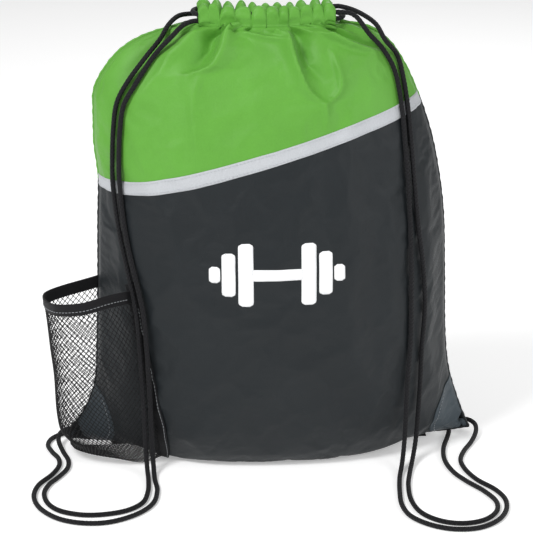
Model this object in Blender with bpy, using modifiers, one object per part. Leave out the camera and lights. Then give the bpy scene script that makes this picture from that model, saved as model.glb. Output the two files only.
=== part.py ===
"""Drawstring backpack with a mesh side pocket: the design, one object for each piece.

Metres, +Z up. X runs along the width, the front faces -Y, and the bag stands on z = 0 with the
middle of its bottom seam at the origin. The bag is two flat panels sewn along the sides and the
bottom and then filled, so every sheet is a grid bent over one pillow form: s runs from the left
side seam (-1) to the right one (+1), and t from the bottom seam (0) to the gathered mouth (1).
"""
import math

import bmesh
import bpy
import numpy as np
from mathutils import Matrix, Vector

MM = 0.001
GAP = 0.3 * MM                    # kept between neighbouring pieces
WALL = 1.8 * MM                   # stand-in thickness of a cloth panel with its filling
FRONT, BACK = -1, 1

# The filled form. Each row: t, left seam x, right seam x, seam z, front depth, back depth, mid z.
FORM = np.array((
    (0.00, 168, 168, 7.2, 0.1, 0.1, 1.0),
    (0.05, 162, 163, 18, 27, 25, 0.0),
    (0.10, 152, 157, 34, 48, 42, 0.0),
    (0.16, 144, 150, 57, 66, 55, 17),
    (0.25, 142, 146, 87, 75, 60, 52),
    (0.40, 140, 144, 148, 78, 60, 118),
    (0.52, 139, 142, 196, 74, 57, 176),
    (0.62, 138, 137, 233, 67, 53, 224),
    (0.70, 141, 130, 265, 60, 49, 263),
    (0.78, 141, 119, 297, 50, 43, 298),
    (0.85, 130, 107, 323, 38, 34, 326),
    (0.92, 108, 92, 343, 26, 24, 345),
    (0.97, 80, 75, 353, 18, 17, 354),
    (1.00, 57, 56, 356, 14, 14, 357),
))
SECTION_POWER = 2.2               # fullness of a cross-section across the width
EDGE_POWER_BODY, EDGE_POWER_EAR = 0.55, 0.75
EAR_TOP = 0.22                    # t where the flat bottom ears end
FLOOR_POWER = 4                   # how far the flat bottom reaches towards the ears

# The contrast tape rises from the left seam to the right one.
TAPE_MIDDLE, TAPE_RISE, TAPE_BAND = 0.693, 0.080, 0.024
SHEET_GAP_T = 0.0008              # the gap between two sheets, as a step in t
NORMAL_STEP, SEAM_MARGIN = 0.004, 0.0005  # step for a normal, and how near a seam it may reach
PANEL_COLUMNS = 30                # faces across a panel

CASING_HALF_LENGTH = 52 * MM
CASING_OFFSET = 12.4 * MM         # from the mouth's middle plane
CASING_HEIGHT = 366.5 * MM
CASING_RADII = (6.2 * MM, 8.6 * MM)
CASING_WALL = 1.2 * MM
GATHERS = 9                       # folds that the gathered casing shows along its length

SEAM_BINDING = (1.6 * MM, 4.4 * MM)      # thickness and width
SEAM_LIFT = 1.0 * MM              # from the panels' edges to a side seam's binding
SEAM_SPAN = (0.03, 0.97)          # t where a side seam's binding starts and ends
BOTTOM_SEAM = (264 * MM, 6 * MM, 0.6 * MM)

PATCH_TOP = 0.155                 # t where a corner patch runs out at the side seam
PATCH_LIFT, PATCH_THICKNESS = 0.7 * MM, 1.0 * MM
PATCH_REACH = 0.19                # how far a patch reaches in from the seam, as a share of s
PATCH_SPAN, PATCH_EDGE_S = (0.012, 0.137), 0.992  # its ends in t, and s at its outer edge

# Pocket: rows upwards, each with the points of its section between the side seam and the front
# seam, in millimetres.
POCKET_ROWS = (
    ((-163, -14, 2.5), (-149, -27, 1.6), (-128, -38, 1.6), (-106, -48, 2)),
    ((-174, -16, 26), (-168, -42, 25), (-146, -57, 24), (-118, -60, 24)),
    ((-177, -17, 78), (-172, -47, 76), (-149, -65, 76), (-122, -67, 78)),
    ((-184, -24, 141), (-177, -56, 142), (-155, -67, 146), (-133, -60, 150)),
)
POCKET_HEIGHTS = (0, 0.16, 0.52, 1)
POCKET_SEAM_S = ((0.10, -0.60), (0.44, -0.82))     # t and s at the foot and the head of the seam
POCKET_FLAP_X = (-163 * MM, -95 * MM)     # the flap's ends along the bottom seam
POCKET_RIM = 0.935                # share of the height where the rim binding starts
MESH_WALL, RIM_WALL = 1.0 * MM, 1.8 * MM
POCKET_BINDING_WIDTH = 8 * MM
POCKET_SEAM_GAP = 1.2 * MM
POCKET_SIDE_SPAN = (0.015, 0.400)         # t at the foot and the head of its side seam
POCKET_INSET = 1.6 * MM                   # its ends' distance in front of the cloth
FLAP_DEPTH, FLAP_SEAM_Y, FLAP_BEND = 0.6 * MM, -4 * MM, 0.125

CORD = 4.0 * MM
KNOT_RADIUS = 5.0 * MM
LOOP_RADIUS, LOOP_WIRE = 4.6 * MM, 1.1 * MM
CORD_LIFT = 0.9 * MM              # between a cord and the face it rests on
CORD_POINTS, BEND_WEIGHT = 80, 14

CHARCOAL, GREEN, WHITE = (0.050, 0.062, 0.070), (0.155, 0.455, 0.052), (0.78, 0.79, 0.81)
BLACK = (0.014, 0.014, 0.016)


def clear_scene():
    """Remove what the opening file holds."""
    for obj in list(bpy.data.objects):
        bpy.data.objects.remove(obj, do_unlink=True)


def collection(name):
    """A new collection under the scene's own."""
    made = bpy.data.collections.new(name)
    bpy.context.scene.collection.children.link(made)
    return made


def material(name, colour, roughness):
    """A plain cloth or cord finish."""
    made = bpy.data.materials.new(name)
    made.use_nodes = True
    shader = made.node_tree.nodes["Principled BSDF"]
    shader.inputs["Base Color"].default_value = (*colour, 1)
    shader.inputs["Roughness"].default_value = roughness
    shader.inputs["Metallic"].default_value = 0.0
    return made


def add_mesh(bm, name, parts, finish):
    """Turn a bmesh into an object of the bag."""
    bmesh.ops.recalc_face_normals(bm, faces=bm.faces[:])
    if bm.calc_volume(signed=True) < 0:
        bmesh.ops.reverse_faces(bm, faces=bm.faces[:])
    mesh = bpy.data.meshes.new(name)
    bm.to_mesh(mesh)
    bm.free()
    mesh.shade_smooth()
    mesh.set_sharp_from_angle(angle=math.radians(50))
    mesh.materials.append(finish)
    obj = bpy.data.objects.new(name, mesh)
    parts.objects.link(obj)
    return obj


# ---- the filled form -------------------------------------------------------------------------

def through(knots, values, at):
    """The smooth curve through values at knots: Hermite spans with limited slopes."""
    steps = np.diff(knots)
    slopes = np.diff(values, axis=0) / steps.reshape(-1, *([1] * (values.ndim - 1)))
    tangents = np.empty_like(values)
    tangents[0], tangents[-1] = slopes[0], slopes[-1]
    inner = 0.5 * (slopes[:-1] + slopes[1:])
    limit = 2.5 * np.minimum(abs(slopes[:-1]), abs(slopes[1:]))
    tangents[1:-1] = np.clip(inner, -limit, limit)
    i = int(np.clip(np.searchsorted(knots, at) - 1, 0, len(steps) - 1))
    h = steps[i]
    x = (at - knots[i]) / h
    return ((2 * x ** 3 - 3 * x ** 2 + 1) * values[i] + (x ** 3 - 2 * x ** 2 + x) * h * tangents[i]
            + (3 * x ** 2 - 2 * x ** 3) * values[i + 1] + (x ** 3 - x ** 2) * h * tangents[i + 1])


def smoothstep(low, high, value):
    """0 below low, 1 above high, and a smooth rise between them."""
    x = min(max((value - low) / (high - low), 0.0), 1.0)
    return x * x * (3 - 2 * x)


def form(s, t):
    """The sizes at (s, t) in metres: seam x, seam z, front depth, back depth and mid z."""
    left, right, seam_z, front, back, mid_z = through(FORM[:, 0], FORM[:, 1:], t) * MM
    return (left if s < 0 else right), seam_z, front, back, mid_z


def surface(s, t, side):
    """A point of the bag's outer face on one side."""
    seam_x, seam_z, front, back, mid_z = form(s, t)
    edge = min(abs(s), 1.0)
    power = EDGE_POWER_EAR + (EDGE_POWER_BODY - EDGE_POWER_EAR) * smoothstep(0.05, EAR_TOP, t)
    fullness = (1 - edge ** SECTION_POWER) ** power
    depth = front if side == FRONT else back
    z = seam_z + (mid_z - seam_z) * (1 - edge ** FLOOR_POWER)
    return Vector((seam_x * s, side * (GAP / 2 + depth * fullness), max(z, 0.0)))


def outward(s, t, side):
    """The outward normal at (s, t)."""
    edge = 1 - SEAM_MARGIN
    s0, s1 = max(s - NORMAL_STEP, -edge), min(s + NORMAL_STEP, edge)
    t0, t1 = max(t - NORMAL_STEP, 0.0), min(t + NORMAL_STEP, 1.0)
    across = surface(s1, t, side) - surface(s0, t, side)
    up = surface(s, t1, side) - surface(s, t0, side)
    normal = across.cross(up)
    normal.normalize()
    return normal if side == FRONT else -normal


def offset(s, t, side, depth):
    """A point at a depth inside the outer face (negative: outside), kept on its own side."""
    point = surface(s, t, side)
    normal = outward(s, t, side)
    if depth <= 0:
        return point - normal * depth
    room = abs(point.y) - GAP / 2
    push = depth * abs(normal.y)
    y = side * (GAP / 2 + room * room / (room + push + 1e-9))
    return Vector((point.x - normal.x * depth, y, point.z - normal.z * depth))


def slab(across, along, place):
    """A grid primitive extruded into a slab, each point (u, w, side 0 or 1) put where place says."""
    bm = bmesh.new()
    bmesh.ops.create_grid(bm, x_segments=across, y_segments=along, size=0.5)
    made = bmesh.ops.extrude_face_region(bm, geom=bm.faces[:], use_keep_orig=True)
    for item in made["geom"]:
        if isinstance(item, bmesh.types.BMVert):
            item.co.z = 1.0
    for vert in bm.verts:
        vert.co = place(vert.co.x + 0.5, vert.co.y + 0.5, vert.co.z)
    return bm


def tape_edge(s, upper):
    """t at the tape's upper or lower edge."""
    return TAPE_MIDDLE + TAPE_RISE * s + (0.5 if upper else -0.5) * TAPE_BAND


def panel(name, side, low, high, rows, parts, finish):
    """A sewn panel from side seam to side seam, between the edges low(s) and high(s)."""
    def place(u, w, layer):
        s = math.sin((u - 0.5) * math.pi)
        t = low(s) + (high(s) - low(s)) * w
        return offset(s, t, side, WALL * layer)

    return add_mesh(slab(PANEL_COLUMNS, rows, place), name, parts, finish)


def build_panels(parts, charcoal, green, white):
    """Lower panel, tape and upper panel, in front and behind."""
    for side, word in ((FRONT, "front"), (BACK, "back")):
        panel(f"{word}_lower_panel", side, lambda s: 0.0,
              lambda s: tape_edge(s, False) - SHEET_GAP_T, 14, parts, charcoal)
        panel(f"{word}_contrast_tape", side, lambda s: tape_edge(s, False),
              lambda s: tape_edge(s, True), 1, parts, white)
        panel(f"{word}_upper_panel", side, lambda s: tape_edge(s, True) + SHEET_GAP_T,
              lambda s: 1.0, 8, parts, green)


# ---- casings, seams and corners --------------------------------------------------------------

def build_casings(parts, green):
    """The gathered tunnels at the mouth that hold the drawcords: open tubes with thickness."""
    for side, word in ((FRONT, "front"), (BACK, "back")):
        bm = bmesh.new()
        bmesh.ops.create_grid(bm, x_segments=4 * GATHERS, y_segments=14, size=0.5)
        for vert in bm.verts:
            along, around = vert.co.x, 2 * math.pi * (vert.co.y + 0.5)
            gather = 1 + 0.05 * math.cos(2 * math.pi * GATHERS * (along + 0.5))
            vert.co = (2 * CASING_HALF_LENGTH * along,
                       side * CASING_OFFSET + CASING_RADII[0] * gather * math.cos(around),
                       CASING_HEIGHT + CASING_RADII[1] * gather * math.sin(around))
        bmesh.ops.remove_doubles(bm, verts=bm.verts[:], dist=0.01 * MM)
        tube = add_mesh(bm, f"{word}_cord_casing", parts, green)
        solid = tube.modifiers.new("cloth", "SOLIDIFY")
        solid.thickness = CASING_WALL
        solid.offset = -1


def seam_frame(side_sign, t):
    """A point of a side seam and the outward direction in the seam's own plane."""
    def at(value):
        seam_x, seam_z, *_ = form(side_sign, min(max(value, 0.0), 1.0))
        return Vector((side_sign * seam_x, 0, seam_z))

    along = at(t + 0.01) - at(t - 0.01)
    out = Vector((side_sign * abs(along.z), 0, -along.x * side_sign))
    out.normalize()
    return at(t), out


def build_seams(parts, black):
    """The bound edges of the two side seams and of the bottom seam."""
    thickness, width = SEAM_BINDING
    for sign, word in ((-1, "left"), (1, "right")):
        def place(u, w, layer, sign=sign):
            point, out = seam_frame(sign, SEAM_SPAN[0] + (SEAM_SPAN[1] - SEAM_SPAN[0]) * w)
            return point + out * (SEAM_LIFT + thickness * layer) + Vector((0, width * (u - 0.5), 0))

        add_mesh(slab(1, 36, place), f"{word}_side_seam_binding", parts, black)
    length, breadth, height = BOTTOM_SEAM
    bm = bmesh.new()
    bmesh.ops.create_cube(bm, size=1.0, matrix=Matrix.Diagonal((length, breadth, height, 1)))
    strip = add_mesh(bm, "bottom_seam_binding", parts, black)
    strip.location.z = height / 2


def patch_edge(t):
    """s where a corner patch's curved stitched edge runs."""
    return 1 - PATCH_REACH * math.sqrt(max(1 - (t / PATCH_TOP) ** 2, 0.0))


def build_corner_patches(parts, charcoal):
    """The reinforced corners: a curved-edged patch over each face of each ear."""
    for sign, word in ((-1, "left"), (1, "right")):
        for side, face in ((FRONT, "front"), (BACK, "back")):
            def place(u, w, layer, sign=sign, side=side):
                t = PATCH_SPAN[0] + (PATCH_SPAN[1] - PATCH_SPAN[0]) * w
                inner = patch_edge(t)
                s = sign * (inner + (PATCH_EDGE_S - inner) * u)
                point = offset(s, t, side, -(PATCH_LIFT + PATCH_THICKNESS * layer))
                point.z = max(point.z, 0.0)
                return point

            add_mesh(slab(5, 9, place), f"{word}_{face}_corner_patch", parts, charcoal)


# ---- the pocket ------------------------------------------------------------------------------

def pocket_ends(height):
    """Where a pocket section starts at the side seam and ends at the front seam."""
    (foot_t, foot_s), (head_t, head_s) = POCKET_SEAM_S
    t = foot_t + (head_t - foot_t) * height
    s = foot_s + (head_s - foot_s) * height
    low, high = POCKET_SIDE_SPAN
    seam, out = seam_frame(-1, low + (high - low) * height)
    start = seam + out * (SEAM_LIFT + SEAM_BINDING[0] + 6 * GAP) - Vector((0, POCKET_INSET, 0))
    margin = (0.5 * POCKET_BINDING_WIDTH + POCKET_SEAM_GAP) / abs(form(-1, t)[0])
    return start, offset(s - margin, t, FRONT, -POCKET_INSET)


def pocket_point(across, height):
    """A point of the pocket's sheet: across from the side seam to the front seam.

    Heights below 0 are the flap that runs under the bag to the bottom seam.
    """
    if height < 0:
        rim = pocket_point(across, 0.0)
        seam_x = POCKET_FLAP_X[0] + (POCKET_FLAP_X[1] - POCKET_FLAP_X[0]) * across
        seam = Vector((seam_x, FLAP_SEAM_Y, FLAP_DEPTH))
        flat = Vector((rim.x, rim.y, FLAP_DEPTH)).lerp(seam, -height)
        return rim.lerp(flat, min(-height / FLAP_BEND, 1.0))
    start, end = pocket_ends(height)
    rows = np.array(POCKET_ROWS) * MM
    middle = through(np.array(POCKET_HEIGHTS), rows, height)
    section = np.vstack((start, middle, end))
    steps = np.linalg.norm(np.diff(section, axis=0), axis=1)
    knots = np.concatenate(([0], np.cumsum(steps))) / steps.sum()
    return Vector(through(knots, section, across))


def pocket_sheet(name, height_at, wall, rows, parts, finish):
    """A band of the pocket's sheet, whose height follows height_at, thick to both sides."""
    def place(u, w, layer):
        height = height_at(w)
        step = 0.01
        u0, u1 = max(u - step, 0), min(u + step, 1)
        h0, h1 = max(height - step, -1), min(height + step, 1)
        across = pocket_point(u1, height) - pocket_point(u0, height)
        up = pocket_point(u, h1) - pocket_point(u, h0)
        normal = across.cross(up)
        normal.normalize()
        point = pocket_point(u, height) + normal * wall * (layer - 0.5)
        point.z = max(point.z, 0.0)
        return point

    return add_mesh(slab(22, rows, place), name, parts, finish)


def build_pocket(parts, black):
    """Mesh sheet, its bound rim and the bound seam on the front panel."""
    flap = 0.2                    # share of the mesh's rows in the flap under the bag
    top = POCKET_RIM - 0.003
    pocket_sheet("mesh_pocket",
                 lambda w: w / flap - 1 if w < flap else (w - flap) / (1 - flap) * top,
                 MESH_WALL, 15, parts, black)
    pocket_sheet("pocket_rim_binding", lambda w: POCKET_RIM + (1 - POCKET_RIM) * w,
                 RIM_WALL, 1, parts, black)

    def place(u, w, layer):
        (foot_t, foot_s), (head_t, head_s) = POCKET_SEAM_S
        t = foot_t + (head_t - foot_t) * w
        s = foot_s + (head_s - foot_s) * w
        shift = (u - 0.5) * POCKET_BINDING_WIDTH / form(-1, t)[0]
        return offset(s + shift, t, FRONT, -(0.8 + 1.3 * layer) * MM)

    add_mesh(slab(2, 16, place), "pocket_front_binding", parts, black)


# ---- the drawcords ---------------------------------------------------------------------------

# Each cord runs from its knot behind the corner through the corner loop, over the floor, up the
# front, through one casing, round the far end, back through the other casing, down the front
# again and over the floor to the same knot. A pair (x, z) lies on the front face; a triple is a
# free point. Millimetres.
RIGHT_ROUTE = (
    (157.6, 13, 9.5), (163.5, 10.7, 9.5), (170, 8.5, 9), (174, 1.5, 7.5), (173, -9, 5),
    (167, -24, 2.4), (158, -43, 2), (152.5, -62, 2), (153.5, -82, 2), (160, -104, 2),
    (171, -124, 2), (176, -144, 2), (173, -166, 2), (163, -185, 2), (147, -197, 2),
    (128, -198, 2), (111, -189, 2), (98, -172, 2), (93.5, -150, 2), (95, -122, 2),
    (98.5, -94, 2.1), (103, -73, 6), (106, -60.5, 18), (107.5, -56, 38), (108.3, -55, 65),
    (109, 105), (109, 140), (108.2, 185), (106.2, 232), (103.8, 262), (101.6, 290),
    (97, 317), (88, 334.5), (77, -22, 350.5), (66.5, -15.5, 363.5), (54, -12.4, 369.2),
    (20, -12.4, 369.4), (-20, -12.4, 369.4), (-53, -12.4, 369.4), (-61.5, -8.8, 369.4),
    (-65, 0, 369.4), (-61.5, 8.8, 369.4), (-53, 12.4, 369.4), (-20, 12.4, 369.4),
    (20, 12.4, 369.4), (54, 12.4, 369.2), (65, 10, 368), (75, 2.5, 363.5), (83.5, -9, 355.5),
    (90, -20, 345), (99, 329), (103.5, 312), (106.6, 290), (108.9, 262), (111.3, 232),
    (114.8, 195), (118.8, 165), (121, 130), (120.8, -46, 95), (120, -46.2, 65),
    (118.6, -47.5, 38), (116.5, -52, 17), (112.5, -65, 5.5), (108, -84, 2.1), (103.2, -112, 2),
    (102, -142, 2), (107, -166, 2), (119.5, -182, 2), (136, -188, 2), (153, -183, 2),
    (165, -168, 2), (168.2, -148, 2), (162, -127, 2), (151, -106, 2), (143, -86, 2),
    (139.5, -62, 2), (142, -36, 2), (148.5, -12, 2), (151.5, 0, 2), (152.4, 7, 2.6),
    (152.6, 12, 4.5),
)
LEFT_ROUTE = (
    (-157.6, 13, 9.5), (-163.5, 10.7, 9.5), (-170.5, 8.5, 9.5), (-175.2, 1.5, 8.8),
    (-176, -8, 6), (-172.5, -22, 2.6), (-168, -40, 2), (-168.5, -57, 2), (-175, -74, 2),
    (-183, -90, 2), (-186.5, -108, 2), (-183, -128, 2), (-173, -143, 2), (-156, -151.5, 2),
    (-138, -151.5, 2), (-121, -145, 2), (-109, -131, 2), (-104.5, -110, 2), (-103.5, -88, 2.1),
    (-104, -72, 5.5), (-104.8, -63.5, 18), (-105.3, -62, 35), (-106, -61.5, 55),
    (-107.2, -60, 80), (-108.3, -58, 104), (-110, -55, 128), (-112.6, -51.3, 146),
    (-116.6, -46.5, 165), (-119.8, 190), (-123, 212), (-125, 236), (-125, 258),
    (-124, 278), (-121.3, 298), (-113, 314), (-99, 332), (-87.5, -17, 347.5), (-81, -7, 356),
    (-73, 3.5, 361), (-64, 10, 363), (-54, 12.4, 363.4), (-20, 12.4, 363.6),
    (20, 12.4, 363.6), (53, 12.4, 363.6), (61.5, 8.8, 363.6), (65, 0, 363.6),
    (61.5, -8.8, 363.6), (53, -12.4, 363.6), (20, -12.4, 363.6), (-20, -12.4, 363.6),
    (-54, -12.4, 363.4), (-68, -17, 359), (-79.5, -24.5, 350), (-92, 334), (-107.5, 312),
    (-116, 297), (-119, 278), (-120, 258), (-119.9, 236), (-118, 212), (-115, 190),
    (-111.6, -51, 165), (-107.2, -55.2, 146), (-104.3, -58.3, 128), (-102.7, -60.5, 104),
    (-101.5, -61.5, 80), (-100.6, -61.8, 55), (-100, -62.3, 35), (-99.5, -64, 18),
    (-98.8, -73, 5.2), (-98.2, -88, 2.1), (-97, -108, 2), (-101, -133, 2), (-114, -153, 2),
    (-135, -166.5, 2), (-156, -167, 2), (-175, -157, 2), (-189, -137, 2), (-194.5, -114, 2),
    (-191.5, -91, 2), (-181, -70, 2), (-175.5, -52, 2), (-176, -36, 2), (-181.5, -21, 2),
    (-185, -6, 2), (-182, 8, 2), (-173.5, 17.5, 2.2), (-163.5, 19.5, 4), (-157.3, 16.3, 6.8),
)
KNOT_CENTRE = (152.6, 15, 9.5)
LOOP_CENTRE = (163.2, 10.7, 9.5)


def on_front(x, z):
    """Where a cord's centre lies when it rests on the front face at (x, z)."""
    low, high = 0.10, 1.0
    for _ in range(40):
        t = 0.5 * (low + high)
        s = min(max(x * MM / form(x, t)[0], -0.97), 0.97)
        if surface(s, t, FRONT).z < z * MM:
            low = t
        else:
            high = t
    return offset(s, t, FRONT, -(0.5 * CORD + CORD_LIFT)) / MM


def smooth_route(route, count):
    """count points of the smooth curve through a route, closer together where it bends."""
    points = [Vector(p) if len(p) == 3 else on_front(*p) for p in route]
    dense = []
    for i in range(len(points) - 1):
        p0, p1 = points[max(i - 1, 0)], points[i]
        p2, p3 = points[i + 1], points[min(i + 2, len(points) - 1)]
        for x in np.linspace(0, 1, 12, endpoint=False):
            dense.append(0.5 * (2 * p1 + (p2 - p0) * x + (2 * p0 - 5 * p1 + 4 * p2 - p3) * x ** 2
                                + (3 * p1 - p0 - 3 * p2 + p3) * x ** 3))
    dense.append(points[-1])
    dense = np.array(dense)
    dense[:, 2] = np.maximum(dense[:, 2], 0.5 * CORD / MM + 0.02)
    steps = np.diff(dense, axis=0)
    lengths = np.linalg.norm(steps, axis=1)
    headings = steps / lengths[:, None]
    turns = np.linalg.norm(np.diff(headings, axis=0, prepend=headings[:1]), axis=1)
    reach = np.concatenate(([0], np.cumsum(lengths + BEND_WEIGHT * turns)))
    wanted = np.linspace(0, reach[-1], count)
    return [Vector([np.interp(at, reach, dense[:, axis]) for axis in range(3)]) * MM
            for at in wanted]


def tube(name, points, diameter, closed, parts, finish):
    """A round cord or wire along points."""
    data = bpy.data.curves.new(name, "CURVE")
    data.dimensions = "3D"
    data.bevel_depth = diameter / 2
    data.bevel_resolution = 2
    data.use_fill_caps = not closed
    spline = data.splines.new("POLY")
    spline.points.add(len(points) - 1)
    for target, point in zip(spline.points, points):
        target.co = (*point, 1)
    spline.use_cyclic_u = closed
    spline.use_smooth = True
    data.materials.append(finish)
    obj = bpy.data.objects.new(name, data)
    parts.objects.link(obj)
    return obj


def build_cords(parts, black):
    """The two drawcords, and at each corner the knot that joins a cord's ends and its loop."""
    for sign, word, route in ((-1, "left", LEFT_ROUTE), (1, "right", RIGHT_ROUTE)):
        tube(f"{word}_drawcord", smooth_route(route, CORD_POINTS), CORD, False, parts, black)
        ring = [Vector((sign * LOOP_CENTRE[0], LOOP_CENTRE[1] + LOOP_RADIUS / MM * math.cos(a),
                        LOOP_CENTRE[2] + LOOP_RADIUS / MM * math.sin(a))) * MM
                for a in np.linspace(0, 2 * math.pi, 16, endpoint=False)]
        tube(f"{word}_corner_loop", ring, 2 * LOOP_WIRE, True, parts, black)
        bm = bmesh.new()
        bmesh.ops.create_icosphere(bm, subdivisions=2, radius=KNOT_RADIUS,
                                   matrix=Matrix.Diagonal((1, 0.94, 0.9, 1)))
        knot = add_mesh(bm, f"{word}_cord_knot", parts, black)
        knot.location = Vector((sign * KNOT_CENTRE[0], *KNOT_CENTRE[1:])) * MM


def main():
    clear_scene()
    parts = collection("drawstring_backpack")
    charcoal = material("charcoal_polyester", CHARCOAL, 0.62)
    green = material("green_polyester", GREEN, 0.55)
    white = material("white_tape", WHITE, 0.7)
    black = material("black_webbing", BLACK, 0.75)
    build_panels(parts, charcoal, green, white)
    build_casings(parts, green)
    build_seams(parts, black)
    build_corner_patches(parts, charcoal)
    build_pocket(parts, black)
    build_cords(parts, black)


main()
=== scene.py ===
"""Drawstring backpack: the looks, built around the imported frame.

The cloth panels start on the same pillow form as the CAD panels, get the folds that run down from
the gathered mouth, and are relaxed by Blender's cloth solver. What is sewn or printed on them then
samples the relaxed cloth. Sizes are in millimetres times MM. X runs along the width, the front
faces -Y, and the bag stands on z = 0.
"""
import math

import bmesh
import bpy
import numpy as np
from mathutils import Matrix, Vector, kdtree, noise


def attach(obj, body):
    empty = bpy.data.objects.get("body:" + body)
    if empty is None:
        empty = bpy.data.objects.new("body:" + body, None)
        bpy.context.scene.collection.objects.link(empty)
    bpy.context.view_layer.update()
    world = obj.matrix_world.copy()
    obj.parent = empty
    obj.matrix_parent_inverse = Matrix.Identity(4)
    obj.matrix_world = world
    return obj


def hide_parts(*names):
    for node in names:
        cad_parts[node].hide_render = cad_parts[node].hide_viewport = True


MM = 0.001
FRONT, BACK = -1, 1
SIDES = ((FRONT, "front"), (BACK, "back"))
ENDS = ((-1, "left"), (1, "right"))

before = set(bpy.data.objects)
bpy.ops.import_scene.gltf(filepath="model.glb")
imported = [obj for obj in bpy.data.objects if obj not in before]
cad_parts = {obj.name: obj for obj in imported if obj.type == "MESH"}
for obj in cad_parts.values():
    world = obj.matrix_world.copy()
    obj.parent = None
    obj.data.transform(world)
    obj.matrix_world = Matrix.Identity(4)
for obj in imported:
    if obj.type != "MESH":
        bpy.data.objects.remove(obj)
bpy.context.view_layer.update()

# ---- the form, as in the CAD --------

# t, left seam x, right seam x, seam z, front depth, back depth, mid z, in millimetres.
FORM = np.array((
    (0.00, 168, 168, 7.2, 0.1, 0.1, 1.0),
    (0.05, 162, 163, 18, 27, 25, 0.0),
    (0.10, 152, 157, 34, 48, 42, 0.0),
    (0.16, 144, 150, 57, 66, 55, 17),
    (0.25, 142, 146, 87, 75, 60, 52),
    (0.40, 140, 144, 148, 78, 60, 118),
    (0.52, 139, 142, 196, 74, 57, 176),
    (0.62, 138, 137, 233, 67, 53, 224),
    (0.70, 141, 130, 265, 60, 49, 263),
    (0.78, 141, 119, 297, 50, 43, 298),
    (0.85, 130, 107, 323, 38, 34, 326),
    (0.92, 108, 92, 343, 26, 24, 345),
    (0.97, 80, 75, 353, 18, 17, 354),
    (1.00, 57, 56, 356, 14, 14, 357),
))
GAP = 0.3 * MM                    # between the two sides, where their seams meet
SECTION_POWER = 2.2
EDGE_POWER_BODY, EDGE_POWER_EAR, EAR_TOP = 0.55, 0.75, 0.22
FLOOR_POWER = 4
TAPE_MIDDLE, TAPE_RISE, TAPE_BAND = 0.693, 0.080, 0.024
CASING_HALF_LENGTH, CASING_OFFSET = 52 * MM, 12.4 * MM
PANEL_WIDTH = 343 * MM            # a panel's cut; its height is measured up the middle
PATCH_TOP = 0.155                 # t where a corner patch ends at the seam


def through(knots, values, at):
    """Smooth curves through values at knots, for an array of places."""
    steps = np.diff(knots)
    slopes = np.diff(values, axis=0) / steps[:, None]
    tangents = np.empty_like(values)
    tangents[0], tangents[-1] = slopes[0], slopes[-1]
    limit = 2.5 * np.minimum(abs(slopes[:-1]), abs(slopes[1:]))
    tangents[1:-1] = np.clip(0.5 * (slopes[:-1] + slopes[1:]), -limit, limit)
    at = np.atleast_1d(at)
    i = np.clip(np.searchsorted(knots, at) - 1, 0, len(steps) - 1)
    h = steps[i][:, None]
    x = (at - knots[i])[:, None] / h
    return ((2 * x ** 3 - 3 * x ** 2 + 1) * values[i] + (x ** 3 - 2 * x ** 2 + x) * h * tangents[i]
            + (3 * x ** 2 - 2 * x ** 3) * values[i + 1] + (x ** 3 - x ** 2) * h * tangents[i + 1])


def distances(path):
    """How far along a path each of its points is."""
    return np.concatenate(([0], np.cumsum(np.linalg.norm(np.diff(path, axis=0), axis=1))))


def joined(*parts):
    """Points or flat coordinates from arrays that fill one shape together."""
    return np.stack(np.broadcast_arrays(*parts), axis=-1)


def circle(count):
    """Angles evenly round a circle."""
    return np.linspace(0, 2 * math.pi, count, endpoint=False)


def blended(grid, i, j, a, b):
    """A grid read between its rows i, i + 1 and its columns j, j + 1."""
    return ((grid[i, j] * (1 - b) + grid[i, j + 1] * b) * (1 - a)
            + (grid[i + 1, j] * (1 - b) + grid[i + 1, j + 1] * b) * a)


def smoothstep(low, high, value):
    """0 below low, 1 above high, and smooth between."""
    x = np.clip((value - low) / (high - low), 0.0, 1.0)
    return x * x * (3 - 2 * x)


def form(t):
    """Left seam x, right seam x, seam z, front depth, back depth and mid z, in metres."""
    return (through(FORM[:, 0], FORM[:, 1:], np.clip(t, 0, 1)) * MM).T


def surface(s, t, side):
    """Points of the bag's outer face for arrays of s (-1 to 1) and t (0 to 1)."""
    s, t = np.broadcast_arrays(np.asarray(s, float), np.asarray(t, float))
    shape = s.shape
    s, t = s.ravel(), t.ravel()
    left, right, seam_z, front, back, mid_z = form(t)
    edge = np.minimum(abs(s), 1.0)
    power = EDGE_POWER_EAR + (EDGE_POWER_BODY - EDGE_POWER_EAR) * smoothstep(0.05, EAR_TOP, t)
    depth = (front if side == FRONT else back) * (1 - edge ** SECTION_POWER) ** power
    z = seam_z + (mid_z - seam_z) * (1 - edge ** FLOOR_POWER)
    points = np.stack((np.where(s < 0, left, right) * s, side * (GAP / 2 + depth),
                       np.maximum(z, 0)), axis=-1)
    return points.reshape(*shape, 3)


def unit(vectors):
    return vectors / np.maximum(np.linalg.norm(vectors, axis=-1, keepdims=True), 1e-12)


def outward(s, t, side):
    """Outward normals of the form."""
    step = 0.004
    s0, s1 = np.maximum(s - step, -0.9995), np.minimum(s + step, 0.9995)
    t0, t1 = np.maximum(t - step, 0), np.minimum(t + step, 1)
    across = surface(s1, t, side) - surface(s0, t, side)
    up = surface(s, t1, side) - surface(s, t0, side)
    return unit(np.cross(across, up)) * -side


def tape_edge(s, share):
    """t across the contrast tape, from its lower edge (share 0) to its upper one (share 1)."""
    return TAPE_MIDDLE + TAPE_RISE * s + (share - 0.5) * TAPE_BAND


# ---- camera, light and floor --------

TARGET = Vector((-2.5, 0, 152)) * MM
CAMERA_AZIMUTH, CAMERA_ELEVATION, CAMERA_DISTANCE = math.radians(-4), math.radians(18), 2.0
FRAME_WIDTH = 437 * MM            # what the picture is wide at the target's distance
SENSOR = 36.0


def put(name, data):
    """A new object in the scene."""
    obj = bpy.data.objects.new(name, data)
    bpy.context.scene.collection.objects.link(obj)
    return obj


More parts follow.
